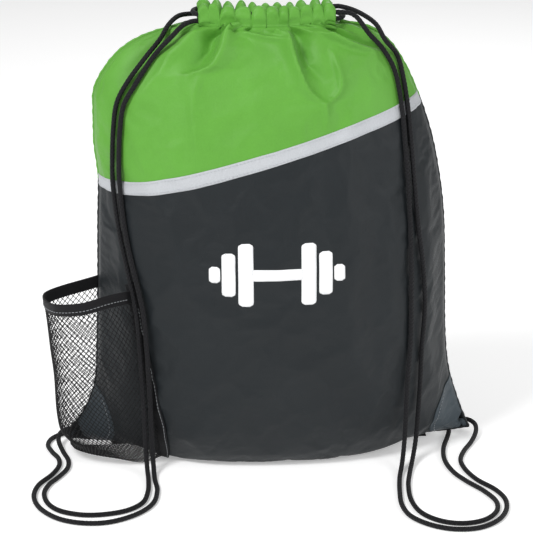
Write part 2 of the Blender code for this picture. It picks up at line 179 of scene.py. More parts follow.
def add_camera():
    data = bpy.data.cameras.new("camera")
    data.sensor_width = SENSOR
    data.lens = SENSOR * CAMERA_DISTANCE / FRAME_WIDTH
    camera = put("camera", data)
    away = Vector((math.sin(CAMERA_AZIMUTH) * math.cos(CAMERA_ELEVATION),
                   -math.cos(CAMERA_AZIMUTH) * math.cos(CAMERA_ELEVATION),
                   math.sin(CAMERA_ELEVATION)))
    camera.location = TARGET + away * CAMERA_DISTANCE
    camera.rotation_euler = (-away).to_track_quat("-Z", "Y").to_euler()
    bpy.context.scene.camera = camera


def add_area(name, location, aim, size, power):
    data = bpy.data.lights.new(name, "AREA")
    data.energy, data.size = power, size
    light = put(name, data)
    light.location = location
    light.rotation_euler = (Vector(location) - Vector(aim)).to_track_quat("Z", "Y").to_euler()


def add_studio():
    """A white sweep of floor, a bright even surround and soft boxes."""
    scene = bpy.context.scene
    scene.view_settings.view_transform = "Standard"
    world = bpy.data.worlds.new("surround")
    world.use_nodes = True
    background = world.node_tree.nodes["Background"]
    background.inputs["Color"].default_value = (1, 1, 1, 1)
    background.inputs["Strength"].default_value = 0.36
    scene.world = world
    aim = (0, 0, 0.18)
    add_area("key", (-1.0, -1.0, 1.7), aim, 0.5, 28.5)
    add_area("side", (1.3, -1.0, 0.9), aim, 0.8, 9)
    add_area("rim", (0.4, 1.2, 1.3), aim, 0.9, 8)
    bpy.ops.mesh.primitive_plane_add(size=12, location=(0, 0, 0))
    floor = bpy.context.object
    floor.name = "floor"
    finish = bpy.data.materials.new("floor_white")
    finish.use_nodes = True
    shader = finish.node_tree.nodes["Principled BSDF"]
    shader.inputs["Base Color"].default_value = (0.88, 0.88, 0.88, 1)
    shader.inputs["Roughness"].default_value = 0.9
    shader.inputs["Emission Color"].default_value = (1, 1, 1, 1)
    shader.inputs["Emission Strength"].default_value = 0.33
    floor.data.materials.append(finish)


# ---- materials --------

class Nodes:
    """Shorthands for building a material's node tree."""

    def __init__(self, name, **values):
        self.material = bpy.data.materials.new(name)
        self.material.use_nodes = True
        self.tree = self.material.node_tree
        self.shader = self.tree.nodes["Principled BSDF"]
        for key, value in values.items():
            self.shader.inputs[key.replace("_", " ")].default_value = value
        place = self.new("ShaderNodeTexCoord")
        self.object, self.uv = place.outputs["Object"], place.outputs["UV"]

    def new(self, kind, **settings):
        node = self.tree.nodes.new(kind)
        for key, value in settings.items():
            setattr(node, key, value)
        return node

    def link(self, source, target):
        self.tree.links.new(source, target)

    def math(self, operation, *terms):
        node = self.new("ShaderNodeMath", operation=operation)
        for socket, value in zip(node.inputs, terms):
            if isinstance(value, (int, float)):
                socket.default_value = value
            else:
                self.link(value, socket)
        return node.outputs[0]

    def uv_parts(self):
        split = self.new("ShaderNodeSeparateXYZ")
        self.link(self.uv, split.inputs[0])
        return split.outputs[0], split.outputs[1]

    def noise(self, scale, detail=2.0, roughness=0.5):
        node = self.new("ShaderNodeTexNoise")
        for key, value in (("Scale", scale), ("Detail", detail), ("Roughness", roughness)):
            node.inputs[key].default_value = value
        self.link(self.object, node.inputs["Vector"])
        return node.outputs["Fac"]

    def colour(self, factor, low, high, dark, light):
        """Blend the base colour from dark, below low, to light, above high."""
        node = self.new("ShaderNodeValToRGB")
        for element, place, value in zip(node.color_ramp.elements, (low, high), (dark, light)):
            element.position = place
            element.color = (*value, 1)
        self.link(factor, node.inputs["Fac"])
        self.link(node.outputs["Color"], self.shader.inputs["Base Color"])

    def bump(self, height, strength, distance, before=None):
        node = self.new("ShaderNodeBump")
        node.inputs["Strength"].default_value = strength
        node.inputs["Distance"].default_value = distance
        self.link(height, node.inputs["Height"])
        if before is not None:
            self.link(before, node.inputs["Normal"])
        return node.outputs["Normal"]

    def done(self, normal):
        self.link(normal, self.shader.inputs["Normal"])
        return self.material


def shade(colour, factor):
    return tuple(min(c * factor, 1.0) for c in colour)


def cloth_material(name, colour, roughness, sheen, spread=0.10, pitch=0.55 * MM):
    """Plain-woven polyester: yarns over and under at a pitch, with faint creases and a sheen."""
    n = Nodes(name, Roughness=roughness, Sheen_Weight=sheen, Sheen_Roughness=0.4,
              Specular_IOR_Level=0.3)
    u, v = n.uv_parts()
    warp = n.math("SINE", n.math("MULTIPLY", u, math.pi / pitch))
    weft = n.math("SINE", n.math("MULTIPLY", v, math.pi / pitch))
    weave = n.math("MULTIPLY_ADD", n.math("MULTIPLY", warp, weft), 0.5, 0.5)
    broad, slub = n.noise(22, 3, 0.55), n.noise(700, 2, 0.6)
    # The weave lifts the colour where the yarns stand up and darkens it between them, as painted
    # shade on the weave's relief. The broad and slub noise are random tone.
    tone = n.math("MULTIPLY_ADD", weave, 0.15, n.math("MULTIPLY_ADD", broad, 0.6,
                                                      n.math("MULTIPLY", slub, 0.25)))
    n.colour(tone, 0.32, 0.72, shade(colour, 1 - spread), shade(colour, 1 + spread))
    crease = n.bump(n.noise(90, 4, 0.62), 0.22, 2.0 * MM, n.bump(slub, 0.25, 0.25 * MM))
    return n.done(n.bump(weave, 0.4, pitch * 0.3, crease))


def rib_material(name, colour, pitch):
    """Grosgrain tape or binding: ribs across its length."""
    n = Nodes(name, Roughness=0.75, Sheen_Weight=0.04, Specular_IOR_Level=0.25)
    ribs = n.math("SINE", n.math("MULTIPLY", n.uv_parts()[0], 2 * math.pi / pitch))
    fuzz = n.noise(1300, 2, 0.6)
    # The ribs darken the colour in the troughs between them, as painted shade on the rib relief.
    # The fuzz is random tone.
    tone = n.math("MULTIPLY_ADD", ribs, 0.18, n.math("MULTIPLY", fuzz, 0.9))
    n.colour(tone, 0.25, 0.75, shade(colour, 0.82), colour)
    return n.done(n.bump(ribs, 0.55, pitch * 0.25, n.bump(fuzz, 0.3, 0.2 * MM)))


def braid_material(name, colour, pitch, around):
    """Braided cord: two sets of strands crossing, with fibres along each."""
    n = Nodes(name, Roughness=0.7, Sheen_Weight=0.05, Specular_IOR_Level=0.22)
    u, v = n.uv_parts()
    turn = n.math("MULTIPLY", u, 2 * math.pi * around)
    climb = n.math("MULTIPLY", v, 2 * math.pi / pitch)
    left = n.math("SINE", n.math("ADD", turn, climb))
    right = n.math("SINE", n.math("SUBTRACT", turn, climb))
    plait = n.math("MAXIMUM", left, right)
    fibres = n.noise(1800, 2, 0.6)
    # The plait lifts the colour on the strands' crowns and darkens it between them, as a painted
    # highlight and painted shade on the braid's relief. The fibres add random tone.
    tone = n.math("MULTIPLY_ADD", plait, 0.25, n.math("MULTIPLY", fibres, 0.75))
    n.colour(tone, 0.25, 0.8, shade(colour, 0.6), shade(colour, 1.7))
    return n.done(n.bump(plait, 0.7, 0.35 * MM, n.bump(fibres, 0.35, 0.15 * MM)))


def thread_material(name, colour):
    """Twisted sewing thread or knitted yarn."""
    n = Nodes(name, Roughness=0.65, Sheen_Weight=0.05, Specular_IOR_Level=0.25)
    fibres = n.noise(2600, 2, 0.5)
    n.colour(fibres, 0.3, 0.7, shade(colour, 0.7), colour)
    return n.done(n.bump(fibres, 0.4, 0.15 * MM))


def print_material(name, colour):
    """Screen-printed ink: flat and matt, with the weave just showing through."""
    n = Nodes(name, Roughness=0.55)
    grain = n.noise(1500, 3, 0.6)
    n.colour(grain, 0.2, 0.6, shade(colour, 0.93), colour)
    return n.done(n.bump(grain, 0.3, 0.12 * MM))


CHARCOAL, GREEN, WHITE = (0.0105, 0.0140, 0.0165), (0.114, 0.353, 0.042), (0.61, 0.63, 0.66)
# The corner patches' colour is the charcoal painted about four times lighter, as painted light
# where the corners face the lamps.
PATCH_PAINTED_LIGHT_GREY = (0.044, 0.060, 0.072)
BLACK, THREAD, INK = (0.0065, 0.0065, 0.008), (0.36, 0.38, 0.40), (0.90, 0.91, 0.92)


# ---- meshes from grids --------

def add_object(name, mesh, finish):
    mesh.materials.append(finish)
    mesh.shade_smooth()
    obj = put(name, mesh)
    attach(obj, "root")
    return obj


def grid_mesh(name, points, uv=None, closed=False):
    """A mesh whose faces join a grid of points, closed across its columns if asked."""
    rows, columns = points.shape[:2]
    index = np.arange(rows * columns).reshape(rows, columns)
    if closed:
        index = np.hstack((index, index[:, :1]))
    faces = np.stack((index[:-1, :-1], index[:-1, 1:], index[1:, 1:], index[1:, :-1]), axis=-1)
    mesh = bpy.data.meshes.new(name)
    mesh.from_pydata(points.reshape(-1, 3).tolist(), [], faces.reshape(-1, 4).tolist())
    if uv is not None:
        layer = mesh.uv_layers.new(name="flat")
        if closed:
            low, width = uv[..., 0].min(), np.ptp(uv[..., 0]) * columns / (columns - 1)
            last = uv[:, :1].copy()
            last[..., 0] = low + width
            uv = np.hstack((uv, last))
        corner = np.stack((uv[:-1, :-1], uv[:-1, 1:], uv[1:, 1:], uv[1:, :-1]), axis=-2)
        layer.uv.foreach_set("vector", corner.astype(np.float32).ravel())
    return mesh


def thicken(obj, thickness, offset=-1.0):
    solid = obj.modifiers.new("thickness", "SOLIDIFY")
    solid.thickness, solid.offset = thickness, offset
    return obj


def tube_grid(path, radius, sides, start=None):
    """Rings round a path of points: grid of points, with a frame carried along without twist."""
    path = np.asarray(path)
    tangents = unit(np.gradient(path, axis=0))
    normal = np.cross(tangents[0], (0, 0, 1) if start is None else start)
    if np.linalg.norm(normal) < 1e-3:
        normal = np.cross(tangents[0], (0, 1, 0))
    normals = [normal / np.linalg.norm(normal)]
    for tangent in tangents[1:]:
        carried = normals[-1] - tangent * normals[-1].dot(tangent)
        normals.append(carried / np.linalg.norm(carried))
    normals = np.array(normals)
    sideways = np.cross(tangents, normals)
    angle = circle(sides)
    radius = np.broadcast_to(radius, (len(path), sides))
    ring = (normals[:, None] * np.cos(angle)[None, :, None]
            + sideways[:, None] * np.sin(angle)[None, :, None])
    return path[:, None] + ring * radius[..., None]


def capped(mesh):
    """Close a tube's open ends."""
    bm = bmesh.new()
    bm.from_mesh(mesh)
    bmesh.ops.holes_fill(bm, edges=[e for e in bm.edges if e.is_boundary])
    bmesh.ops.recalc_face_normals(bm, faces=bm.faces[:])
    bm.to_mesh(mesh)
    bm.free()
    return mesh


def add_tube(name, points, uv, finish):
    """A closed tube with capped ends, from a grid of rings."""
    return add_object(name, capped(grid_mesh(name, points, uv, closed=True)), finish)


def tube_faces(index):
    """Faces of tubes with closed ends, from their points' numbers by tube, ring and side."""
    turned = np.roll(index, -1, axis=2)
    walls = np.stack((index[:, :-1], turned[:, :-1], turned[:, 1:], index[:, 1:]), axis=-1)
    return walls.reshape(-1, 4).tolist() + index[:, 0, ::-1].tolist() + index[:, -1].tolist()


def add_tubes(name, vertices, faces, finish):
    """Many tubes as one object."""
    mesh = bpy.data.meshes.new(name)
    mesh.from_pydata(vertices, [], faces)
    return add_object(name, mesh, finish)


def resample(path, spacing):
    """Points at an even spacing along a path."""
    path = np.asarray(path)
    reach = distances(path)
    count = max(int(reach[-1] / spacing), 2)
    wanted = np.linspace(0, reach[-1], count + 1)
    return np.stack([np.interp(wanted, reach, path[:, axis]) for axis in range(3)], axis=-1)


# ---- the drawcords --------

# A pair (x, z) lies on the front face, a triple is a free point. Millimetres. The routes are the
# CAD's, except at the mouth: inside the casings they run 3 to 8 mm lower, and turn further in.
RIGHT_ROUTE = (
    (157.6, 13, 9.5), (163.5, 10.7, 9.5), (170, 8.5, 9), (174, 1.5, 7.5), (173, -9, 5),
    (167, -24, 2.4), (158, -43, 2), (152.5, -62, 2), (153.5, -82, 2), (160, -104, 2),
    (171, -124, 2), (176, -144, 2), (173, -166, 2), (163, -185, 2), (147, -197, 2),
    (128, -198, 2), (111, -189, 2), (98, -172, 2), (93.5, -150, 2), (95, -122, 2),
    (98.5, -94, 2.1), (103, -73, 6), (106, -60.5, 18), (107.5, -56, 38), (108.3, -55, 65),
    (109, 105), (109, 140), (108.2, 185), (106.2, 232), (103.8, 262), (101.6, 290),
    (97, 317), (88, 334.5), (77, -22, 350.5), (66.5, -15.5, 363.5), (54, -12.4, 366),
    (20, -12.4, 365.5), (-20, -12.4, 365.5), (-52, -12.4, 365.5), (-58.5, -8.8, 365.5),
    (-61, 0, 365.5), (-58.5, 8.8, 365.5), (-52, 12.4, 365), (-20, 12.4, 361.2),
    (20, 12.4, 361.2), (50, 12.4, 365.2), (60, 10, 365.2), (72, 2.5, 362), (83.5, -9, 355.5),
    (90, -20, 345), (99, 329), (103.5, 312), (106.6, 290), (108.9, 262), (111.3, 232),
    (114.8, 195), (118.8, 165), (121, 130), (120.8, -46, 95), (120, -46.2, 65),
    (118.6, -47.5, 38), (116.5, -52, 17), (112.5, -65, 5.5), (108, -84, 2.1), (103.2, -112, 2),
    (102, -142, 2), (107, -166, 2), (119.5, -182, 2), (136, -188, 2), (153, -183, 2),
    (165, -168, 2), (168.2, -148, 2), (162, -127, 2), (151, -106, 2), (143, -86, 2),
    (139.5, -62, 2), (142, -36, 2), (148.5, -12, 2), (151.5, 0, 2), (152.4, 7, 2.6),
    (152.6, 12, 4.5),
)
LEFT_ROUTE = (
    (-157.6, 13, 9.5), (-163.5, 10.7, 9.5), (-170.5, 8.5, 9.5), (-175.2, 1.5, 8.8),
    (-176, -8, 6), (-172.5, -22, 2.6), (-168, -40, 2), (-168.5, -57, 2), (-175, -74, 2),
    (-183, -90, 2), (-186.5, -108, 2), (-183, -128, 2), (-173, -143, 2), (-156, -151.5, 2),
    (-138, -151.5, 2), (-121, -145, 2), (-109, -131, 2), (-104.5, -110, 2), (-103.5, -88, 2.1),
    (-104, -72, 5.5), (-104.8, -63.5, 18), (-105.3, -62, 35), (-106, -61.5, 55),
    (-107.2, -60, 80), (-108.3, -58, 104), (-110, -55, 128), (-112.6, -51.3, 146),
    (-116.6, -46.5, 165), (-119.8, 190), (-123, 212), (-125, 236), (-125, 258),
    (-124, 278), (-121.3, 298), (-113, 314), (-99, 332), (-87.5, -17, 347.5), (-81, -7, 356),
    (-73, 3.5, 361), (-64, 10, 361.5), (-54, 12.4, 360.6), (-20, 12.4, 356.8),
    (20, 12.4, 356.8), (49, 12.4, 360.6), (56, 8.8, 360.8), (58.5, 0, 360.8),
    (56, -8.8, 360.8), (49, -12.4, 360.8), (20, -12.4, 360.8), (-20, -12.4, 360.8),
    (-54, -12.4, 361), (-68, -17, 359), (-79.5, -24.5, 350), (-92, 334), (-107.5, 312),
    (-116, 297), (-119, 278), (-120, 258), (-119.9, 236), (-118, 212), (-115, 190),
    (-111.6, -51, 165), (-107.2, -55.2, 146), (-104.3, -58.3, 128), (-102.7, -60.5, 104),
    (-101.5, -61.5, 80), (-100.6, -61.8, 55), (-100, -62.3, 35), (-99.5, -64, 18),
    (-98.8, -73, 5.2), (-98.2, -88, 2.1), (-97, -108, 2), (-101, -133, 2), (-114, -153, 2),
    (-135, -166.5, 2), (-156, -167, 2), (-175, -157, 2), (-189, -137, 2), (-194.5, -114, 2),
    (-191.5, -91, 2), (-181, -70, 2), (-175.5, -52, 2), (-176, -36, 2), (-181.5, -21, 2),
    (-185, -6, 2), (-182, 8, 2), (-173.5, 17.5, 2.2), (-163.5, 19.5, 4), (-157.3, 16.3, 6.8),
)
KNOT_CENTRE = np.array((152.6, 15, 9.5)) * MM
LOOP_CENTRE = np.array((163.2, 10.7, 9.5)) * MM
CORD = 4.0 * MM
CORD_LIFT = 0.9 * MM              # between a cord and the face it rests on


def on_front(x, z):
    """Where a cord's centre lies when it rests on the front face at (x, z), in millimetres."""
    low, high = 0.10, 1.0
    for _ in range(40):
        t = 0.5 * (low + high)
        left, right = form(t)[:2]
        s = np.clip(x * MM / (left if x < 0 else right), -0.97, 0.97)
        if surface(s, t, FRONT)[0, 2] < z * MM:
            low = t
        else:
            high = t
    return (surface(s, t, FRONT) + outward(s, t, FRONT) * (CORD / 2 + CORD_LIFT))[0] / MM


def cord_path(route):
    """The smooth curve through a route, in metres."""
    points = np.array([p if len(p) == 3 else on_front(*p) for p in route], float)
    ends = np.vstack((points[:1], points, points[-1:]))
    p0, p1, p2, p3 = (ends[i:len(ends) - 3 + i, None] for i in range(4))
    x = np.linspace(0, 1, 12, endpoint=False)[None, :, None]
    dense = 0.5 * (2 * p1 + (p2 - p0) * x + (2 * p0 - 5 * p1 + 4 * p2 - p3) * x ** 2
                   + (3 * p1 - p0 - 3 * p2 + p3) * x ** 3)
    dense = np.vstack((dense.reshape(-1, 3), points[-1:]))
    dense[:, 2] = np.maximum(dense[:, 2], 0.5 * CORD / MM + 0.02)
    return resample(dense * MM, 0.8 * MM)


def path_length(path):
    return float(np.linalg.norm(np.diff(path, axis=0), axis=1).sum())


def evenly(path):
    """A column of even steps from 0 to a path's length."""
    return np.linspace(0, path_length(path), len(path))[:, None]


def add_cord(word, path, finish, knot):
    """A braided cord: rings round the path, with the plait as relief."""
    sides, plait, relief = 16, 3.2 * MM, 0.10 * MM
    along = evenly(path)
    angle = circle(sides)[None]
    wave = np.maximum(np.sin(4 * angle + 2 * math.pi * along / plait),
                      np.sin(4 * angle - 2 * math.pi * along / plait))
    points = tube_grid(path, CORD / 2 - relief + relief * wave, sides)
    uv = joined(angle / (2 * math.pi), along)
    obj = add_tube(f"{word}_cord", points, uv, finish)
    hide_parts(f"{word}_drawcord")


def add_knot(word, sign, finish):
    """A stopper knot: three crossings of the cord pulled tight."""
    turn = np.linspace(0, 2 * math.pi, 97)
    radius = 2.6 * MM * (1 + 0.36 * np.cos(3 * turn))
    path = np.stack((1.9 * MM * np.sin(3 * turn), radius * np.cos(2 * turn),
                     radius * np.sin(2 * turn)), axis=-1)
    path += KNOT_CENTRE * (sign, 1, 1)
    points = tube_grid(path, 1.75 * MM, 12)
    along = evenly(path)
    uv = joined(np.arange(12)[None] / 12, along)
    obj = add_tube(f"{word}_knot", points, uv, finish)
    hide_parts(f"{word}_cord_knot")
    return obj


def add_loop(word, sign, finish):
    """The woven loop sewn into the seam at a corner, round the cord."""
    radius, width, tape = 4.6 * MM, 5.0 * MM, 1.1 * MM
    turn = np.linspace(-0.83 * math.pi, 0.83 * math.pi, 40)
    y = LOOP_CENTRE[1] + radius * np.cos(turn)
    z = LOOP_CENTRE[2] + radius * np.sin(turn)
    y = np.concatenate(([0.4 * MM], y, [0.4 * MM]))
    z = np.concatenate(([LOOP_CENTRE[2] - 0.5 * MM], z, [LOOP_CENTRE[2] + 0.5 * MM]))
    line = resample(np.stack((np.zeros_like(y), y, z), axis=-1), 0.8 * MM)
    across = np.linspace(-0.5, 0.5, 7) * width
    points = line[:, None] + np.stack((across, 0 * across, 0 * across), axis=-1)[None]
    points[..., 0] += sign * LOOP_CENTRE[0]
    along = evenly(line)
    uv = joined(along, across[None])
    obj = add_object(f"{word}_loop", grid_mesh(f"{word}_loop", points, uv), finish)
    thicken(obj, tape, 0)
    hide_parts(f"{word}_corner_loop")


# ---- the cloth --------

PANEL_ACROSS, PANEL_ROWS = 132, 168
CLOTH_THICKNESS, TRIM_THICKNESS = 0.4 * MM, 0.5 * MM
TAPE_LIFT, PATCH_LIFT, PRINT_LIFT = 0.45 * MM, 0.55 * MM, 0.16 * MM   # off the panel's cloth
TAPE_OVERLAP = 0.12               # share of the tape's width that the panels reach in under it
BODY_EXCESS, GATHER_EXCESS = 0.006, 0.10  # how much larger the cut is than the form
MOUTH_FLARE = 3.0 * MM            # how far the gathered edge stands out to meet its casing
HOLD = 0.1                        # how firmly the filling holds the cloth while it settles


def flat_to_s(share):
    """The s of places across a panel, given as shares (-1 to 1) of the flat half width."""
    angle = np.linspace(0, math.pi / 2, 200)
    middle = surface(np.sin(angle), np.full_like(angle, 0.42), FRONT)
    reach = distances(middle)
    return np.sign(share) * np.sin(np.interp(abs(share) * reach[-1], reach, angle))


# A fold: height in mm (valleys below 0), widths in mm at its head and foot, its steeper side (-1
# left, 1 right, 0 neither), and the places (t, s) that it runs through, from the mouth down.
FRONT_FOLDS = (
    (10.0, 8, 12, -1, ((1.0, -0.47), (0.965, -0.40), (0.90, -0.345), (0.86, -0.37), (0.84, -0.50))),
    (-9.0, 7, 9, 0, ((1.0, -0.62), (0.965, -0.53), (0.91, -0.44), (0.87, -0.46))),
    (6.0, 9, 18, -1, ((1.0, -0.84), (0.97, -0.70), (0.92, -0.63), (0.865, -0.69), (0.80, -0.74))),
    (-5.0, 7, 10, 0, ((0.95, -0.88), (0.90, -0.84), (0.86, -0.83), (0.81, -0.88))),
    (-6.0, 4, 6, 0, ((1.0, -0.265), (0.985, -0.215), (0.96, -0.18))),
    (4.5, 6, 9, 0, ((0.985, -0.36), (0.95, -0.17), (0.915, 0.12))),
    (4.0, 5, 7, 0, ((1.0, -0.16), (0.985, -0.08), (0.955, 0.04), (0.93, 0.13))),
    (10.0, 6, 10, 1, ((1.0, 0.15), (0.92, 0.155), (0.845, 0.19), (0.808, 0.24), (0.785, 0.33))),
    (4.0, 7, 7, -1, ((0.87, 0.47), (0.83, 0.47), (0.80, 0.43), (0.785, 0.34))),
    (-9.0, 8, 9, 0, ((1.0, 0.31), (0.96, 0.25), (0.92, 0.24), (0.865, 0.265), (0.83, 0.33))),
    (8.0, 7, 13, 1, ((1.0, 0.40), (0.965, 0.46), (0.915, 0.62), (0.88, 0.84))),
    (-7.0, 8, 10, 0, ((1.0, 0.70), (0.955, 0.69), (0.915, 0.77), (0.89, 0.90))),
    (2.4, 8, 12, -1, ((0.85, -0.42), (0.78, -0.45), (0.71, -0.43))),
    (-1.4, 14, 26, 0, ((0.70, -0.80), (0.58, -0.62), (0.46, -0.55), (0.34, -0.58))),
    (-1.6, 10, 18, 0, ((0.70, 0.74), (0.60, 0.70), (0.46, 0.72), (0.34, 0.78))),
    (1.8, 9, 18, 0, ((0.66, 0.86), (0.52, 0.80), (0.40, 0.84), (0.28, 0.88))),
    (-1.2, 12, 24, 0, ((0.30, 0.60), (0.20, 0.68), (0.12, 0.78))),
    (-1.2, 12, 24, 0, ((0.30, -0.58), (0.20, -0.64), (0.12, -0.74))),
)
BACK_FOLDS = (
    (-4.4, 7, 18, 0, ((1.0, -0.46), (0.93, -0.46), (0.85, -0.52), (0.78, -0.60))),
    (-3.8, 6, 15, 0, ((1.0, -0.10), (0.94, -0.12), (0.86, -0.10), (0.79, -0.04))),
    (3.2, 7, 16, 0, ((1.0, 0.06), (0.92, 0.08), (0.84, 0.14))),
    (-4.2, 7, 18, 0, ((1.0, 0.30), (0.93, 0.34), (0.86, 0.40), (0.77, 0.50))),
    (3.4, 7, 15, 0, ((1.0, -0.30), (0.94, -0.30), (0.86, -0.34))),
    (-3.4, 6, 15, 0, ((1.0, 0.62), (0.94, 0.70), (0.87, 0.84))),
    (-3.4, 6, 15, 0, ((1.0, -0.68), (0.94, -0.74), (0.87, -0.86))),
    (-1.6, 12, 26, 0, ((0.66, 0.70), (0.50, 0.56), (0.36, 0.60))),
    (-1.6, 12, 26, 0, ((0.62, -0.70), (0.48, -0.60), (0.34, -0.66))),
    (1.5, 12, 24, 0, ((0.58, 0.40), (0.44, 0.34), (0.32, 0.42))),
)
# Where the gathered casing's lobes meet, in mm along it, with how deep each valley is (0 to 1).
FRONT_VALLEYS = ((-57, 0.3), (-49, 0.3), (-40.5, 0.8), (-28, 0.8), (-15.5, 1.2), (-3.5, 0.7),
                 (6.5, 0.8), (14, 0.4), (23, 0.9), (33, 0.4), (42, 0.8), (51, 0.3))
BACK_VALLEYS = ((-57, 0.4), (-46, 0.7), (-37, 0.8), (-27, 0.7), (-17, 1.1), (-8, 0.8), (2, 0.7),
                (12, 0.9), (21, 0.8), (32, 0.8), (42, 0.8), (51, 0.4))
VALLEYS = {FRONT: FRONT_VALLEYS, BACK: BACK_VALLEYS}
LOBE_FATNESS, PLEAT_RELIEF = 0.15, 3.4 * MM
MOUTH_HALF_WIDTH = 57 * MM
MOUTH_SHIFT = 6 * MM              # how far the cords draw the mouth's right end in
CASING_RADIUS, CASING_DEPTH = 7.4 * MM, 5.2 * MM    # its half height, and its inner depth
CASING_RISE = 6.2 * MM            # from the mouth's edge up to its middle
LEAST_OUTER, LEAST_INNER = 3.6 * MM, 2.8 * MM       # how near the cords its valleys come
INNER_LOBE, CASING_CRUMPLE = 4.8 * MM, 2.2 * MM
CASING_FOOT = (354 * MM, 360 * MM)        # the least and most height of the edge it sits on
CASING_INSIDE = 0.8 * MM          # how far it lies inside the panel that turns over it
TURN_UP = 17 * MM                 # what the upper panel's cut has for the turn over the casing
CASING_SAG = {FRONT: 0.8 * MM, BACK: 5.5 * MM}      # how much lower its middle hangs
MOUTH_LEAST = 15.9 * MM           # the least depth of the mouth, which clears the cords inside
# A casing's cut along the cords. It isn't measured: it was lowered until the mesh held enough of
# it, and a real hem's is probably nearer 286 mm.
CASING_CUT = 212 * MM


def mouth_x(s):
    """x along the mouth, before the cloth gathers."""
    return MOUTH_HALF_WIDTH * s - MOUTH_SHIFT * smoothstep(-0.3, 1.0, s)


def gathered(x, side):
    """Where places x along the mouth go as the cloth gathers, and its relief: 1 on the lobes."""
    places, depths = np.array(VALLEYS[side]).T
    places = places * MM
    x = np.clip(x, places[0], places[-1])
    i = np.clip(np.searchsorted(places, x) - 1, 0, len(places) - 2)
    width = places[i + 1] - places[i]
    phase = 2 * math.pi * (x - places[i]) / width
    valley = np.where(phase < math.pi, depths[i], depths[i + 1])
    relief = (1 - np.cos(phase)) / 2 * (1 + valley) - valley
    return x - LOBE_FATNESS * width * np.sin(phase), relief


def fold_field(s, t, side):
    """How far folds lift the cloth off the form, in metres."""
    lift = np.zeros(np.broadcast(s, t).shape)
    half_width = form(t.ravel())[0].reshape(t.shape)
    for height, head, foot, steeper, line in (FRONT_FOLDS if side == FRONT else BACK_FOLDS):
        line = np.array(line)[::-1]
        low, high = line[0, 0], line[-1, 0]
        along = np.clip((t - low) / (high - low), 0, 1)
        centre = through(line[:, 0], line[:, 1:], np.clip(t.ravel(), low, high)).reshape(t.shape)
        width = (foot + (head - foot) * along) * MM
        away = (s - centre) * half_width / width
        fade = smoothstep(low - 0.06, low + 0.45 * (high - low), t)
        if high < 1:
            fade = fade * (1 - smoothstep(high - 0.35 * (high - low), high + 0.04, t))
        away = np.where(away * steeper > 0, 1.9 * away, away)
        sharp = 1 / (1 + away ** 2) ** 1.5 if height > 0 else np.exp(-abs(away) ** 1.6)
        lift += height * MM * fade * sharp
    lift *= 1 - 0.6 * smoothstep(0.955, 1.0, t)
    lift += PLEAT_RELIEF * gathered(mouth_x(s), side)[1] * smoothstep(0.90, 0.99, t)
    return lift


def wobble(points, scale, height):
    """Low smooth unevenness: a noise value for each point."""
    flat = points.reshape(-1, 3) * (1 / scale)
    values = np.array([noise.noise(Vector(p)) for p in flat])
    return values.reshape(points.shape[:2]) * height


def cut_height(t):
    """Height in the flat cut: how far t is up the middle of the front."""
    steps = np.linspace(0, 1, 400)
    middle = surface(0 * steps, steps, FRONT)
    reach = distances(middle)
    return np.interp(t, steps, reach)


def cloth_grid(side):
    """A whole side of the bag before it is relaxed: shares, t, s, points, flat coordinates."""
    share = np.linspace(-1, 1, PANEL_ACROSS + 1)[None]
    t = np.linspace(0, 1, PANEL_ROWS + 1)[:, None]
    s, t_all = np.broadcast_arrays(flat_to_s(share), t)
    smooth = surface(s, t_all, side)
    inset = (1 - abs(s) ** 6) * smoothstep(0.0, 0.12, t_all)
    lift = (fold_field(s, t_all, side) + wobble(smooth, 70 * MM, 1.6 * MM)
            + wobble(smooth, 24 * MM, 0.5 * MM))
    points = smooth + outward(s, t_all, side) * (lift * inset)[..., None]
    mouth = smoothstep(0.91, 1.0, t_all)
    points[..., 1] += side * MOUTH_FLARE * mouth * (1 - abs(s) ** 4)
    x = mouth_x(s)
    points[..., 0] += mouth * (x - MOUTH_HALF_WIDTH * s)
    points[..., 0] += smoothstep(0.95, 1.0, t_all) * (gathered(x, side)[0] - x) * (1 - abs(s) ** 30)
    flat = joined(share * PANEL_WIDTH / 2, cut_height(t))
    return share[0], t[:, 0], s, points, flat


def relax(s, t, points, frames=14, cap=7 * MM):
    """Let the cloth solver settle a side whose cut is larger than the form, most at the gathers."""
    obj = put("relaxing", grid_mesh("relaxing", points))
    sewn = np.maximum(smoothstep(0.975, 1.0, abs(s)), smoothstep(0.985, 1.0, t))
    sewn = np.maximum(sewn, 1 - smoothstep(0.0, 0.10, t))
    loose = np.maximum(smoothstep(0.72, 0.98, t), 0.5 * smoothstep(0.62, 0.95, abs(s)))
    for name, weight in (("held", np.where(sewn > 0.5, 1.0, HOLD)), ("loose", loose)):
        group = obj.vertex_groups.new(name=name)
        weight = weight.round(2).ravel()
        for value in np.unique(weight):
            group.add(np.flatnonzero(weight == value).tolist(), float(value), "REPLACE")
    cloth = obj.modifiers.new("cloth", "CLOTH")
    settings = cloth.settings
    settings.quality = 5
    settings.mass = 0.12
    settings.tension_stiffness = settings.compression_stiffness = 25
    settings.shear_stiffness = 8
    settings.bending_stiffness = 0.8
    settings.air_damping = 2
    settings.vertex_group_mass, settings.pin_stiffness = "held", 0.5
    settings.vertex_group_shrink = "loose"
    settings.shrink_min, settings.shrink_max = -BODY_EXCESS, -GATHER_EXCESS
    settings.effector_weights.gravity = 0
    cloth.collision_settings.use_collision = False
    cloth.point_cache.frame_start, cloth.point_cache.frame_end = 1, frames
    scene = bpy.context.scene
    for number in range(1, frames + 1):
        scene.frame_set(number)
    evaluated = obj.evaluated_get(bpy.context.evaluated_depsgraph_get())
    settled = np.empty(points.size, np.float32)
    evaluated.data.vertices.foreach_get("co", settled)
    scene.frame_set(1)
    bpy.data.objects.remove(obj, do_unlink=True)
    moved = settled.reshape(points.shape).astype(float) - points
    distance = np.linalg.norm(moved, axis=-1, keepdims=True)
    return points + moved * (cap * np.tanh(distance / cap) / np.maximum(distance, 1e-9))


